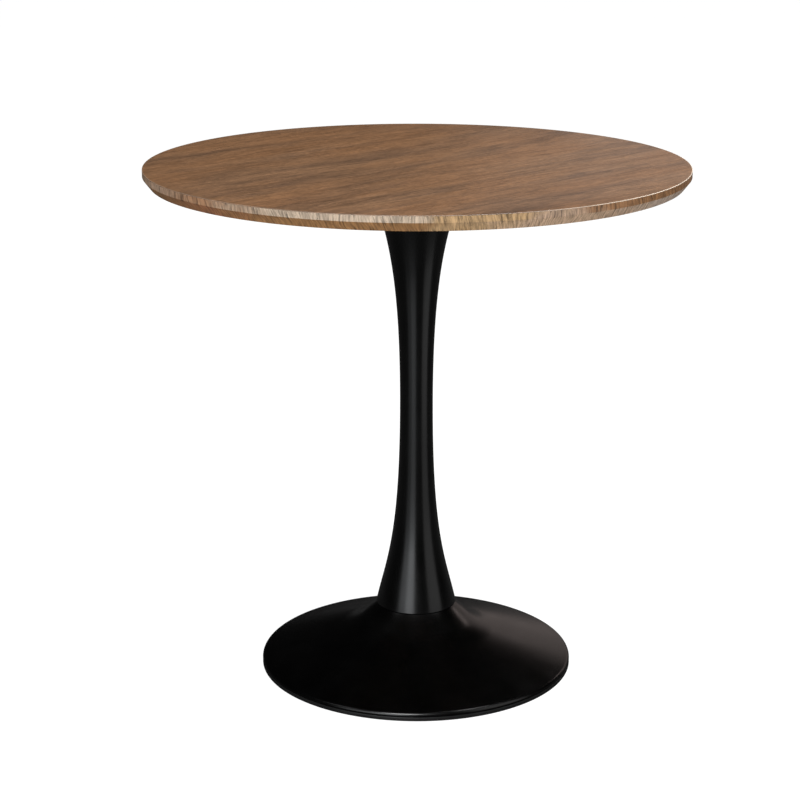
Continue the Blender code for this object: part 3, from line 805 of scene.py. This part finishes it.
# Rim ring. A moulded black ring pushed up inside the rolled rim, with a flange under the ballast;
# its foot carries the table and shows as a thin line under the rim.
ring_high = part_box("rim_ring")[1]
ring_radius = ring_high.x
RING_HEIGHT = 0.0056
RING_BORE = 0.2143
COLLAR_WALL = 0.0027
FLANGE_INNER = 0.2060
FLANGE_BOTTOM = 0.0050
FLANGE_TOP = 0.0080
RING_EASE = 0.0008
moulded_black = black_coat("moulded_black", (0.010, 0.010, 0.010), 0.42, 0.0006, 0.00003, 0.4)
foot_ring = turn_piece("foot_ring", [
    (RING_BORE, ring_high.z), (RING_BORE + COLLAR_WALL, ring_high.z),
    (RING_BORE + COLLAR_WALL, RING_HEIGHT),
    *arc((ring_radius - RING_EASE, RING_HEIGHT - RING_EASE), RING_EASE, 90, 0, 4),
    *arc((ring_radius - RING_EASE, RING_EASE), RING_EASE, 0, -90, 4),
    *arc((RING_BORE + RING_EASE, RING_EASE), RING_EASE, -90, -180, 4),
    (RING_BORE, FLANGE_BOTTOM), (FLANGE_INNER, FLANGE_BOTTOM), (FLANGE_INNER, FLANGE_TOP),
    (RING_BORE, FLANGE_TOP), (RING_BORE, ring_high.z),
], 192)
finish_piece(foot_ring, moulded_black, 40.0)
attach(foot_ring, "root")
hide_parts("rim_ring")

# Bottom plate. A 1.2 mm sheet-steel disc, stamped with a centre hole and six screw holes and
# dipped black, that closes the underside of the ballast.
pan_low, pan_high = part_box("bottom_plate")
pan_radius = pan_high.x
PAN_HOLE = 0.024
PAN_EASE = 0.0003
COVER_CIRCLE = 0.350
PAN_SCREW_HOLE = 0.0028
dipped_black = black_coat("dipped_black", (0.02, 0.02, 0.021), 0.48, 0.0018, 0.00004)
pan = turn_piece("closing_disc", [
    (PAN_HOLE, pan_high.z), (pan_radius - PAN_EASE, pan_high.z),
    (pan_radius, pan_high.z - PAN_EASE), (pan_radius, pan_low.z + PAN_EASE),
    (pan_radius - PAN_EASE, pan_low.z),
    (PAN_HOLE + PAN_EASE, pan_low.z), (PAN_HOLE, pan_low.z + PAN_EASE), (PAN_HOLE, pan_high.z),
], 192)
bore_holes(pan, ring_spots(COVER_CIRCLE), PAN_SCREW_HOLE, pan_low.z, pan_high.z, 20)
finish_piece(pan, dipped_black)
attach(pan, "root")
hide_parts("bottom_plate")

# Cover screws. Six M5 low button-head screws, black oxide with a hexagon socket, up through the
# bottom plate into tapped holes in the ballast.
cover_screw_low, cover_screw_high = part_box("cover_screw_1")
cover_seat = pan_low.z - SEAT_GAP
M5_HEAD, M5_SHANK, M5_SOCKET = 0.0046, 0.0025, 0.003
M5_TURN = 0.9
small_screw = button_screw("m5_screw", M5_HEAD, cover_seat - cover_screw_low.z, M5_SHANK,
                           cover_screw_high.z - cover_seat, M5_SOCKET, cover_seat)
finish_piece(small_screw, oxide_steel, 40.0)
for index, spot in enumerate(ring_spots(COVER_CIRCLE)):
    fixed = copy_to(small_screw, f"m5_screw_{index + 1}", spot, M5_TURN * index)
    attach(fixed, "root")
    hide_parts(f"cover_screw_{index + 1}")
bpy.data.objects.remove(small_screw, do_unlink=True)

# Access plug. A black plastic cap snapped into the centre hole of the bottom plate over the clamp
# nut, with a shallow dimple for a fingertip.
plug_low, plug_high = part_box("access_plug")
plug_radius = plug_high.x
plug_head_top = pan_low.z - SEAT_GAP
PLUG_SKIRT = 0.0237
PLUG_SKIRT_WALL = 0.0015
PLUG_EASE = 0.0005
plug = turn_piece("hole_cap", [
    (0.0, plug_head_top), (PLUG_SKIRT - PLUG_SKIRT_WALL, plug_head_top),
    (PLUG_SKIRT - PLUG_SKIRT_WALL, plug_high.z - 0.0003), (PLUG_SKIRT - 0.0012, plug_high.z),
    (PLUG_SKIRT - 0.0004, plug_high.z), (PLUG_SKIRT, plug_high.z - 0.0006),
    (PLUG_SKIRT, plug_head_top), (plug_radius, plug_head_top),
    *arc((plug_radius - PLUG_EASE, plug_low.z + PLUG_EASE), PLUG_EASE, 0, -90, 3),
    (0.012, plug_low.z), (0.010, plug_low.z + 0.0002), (0.0, plug_low.z + 0.0004),
], 96)
finish_piece(plug, moulded_black, 40.0)
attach(plug, "root")
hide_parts("access_plug")
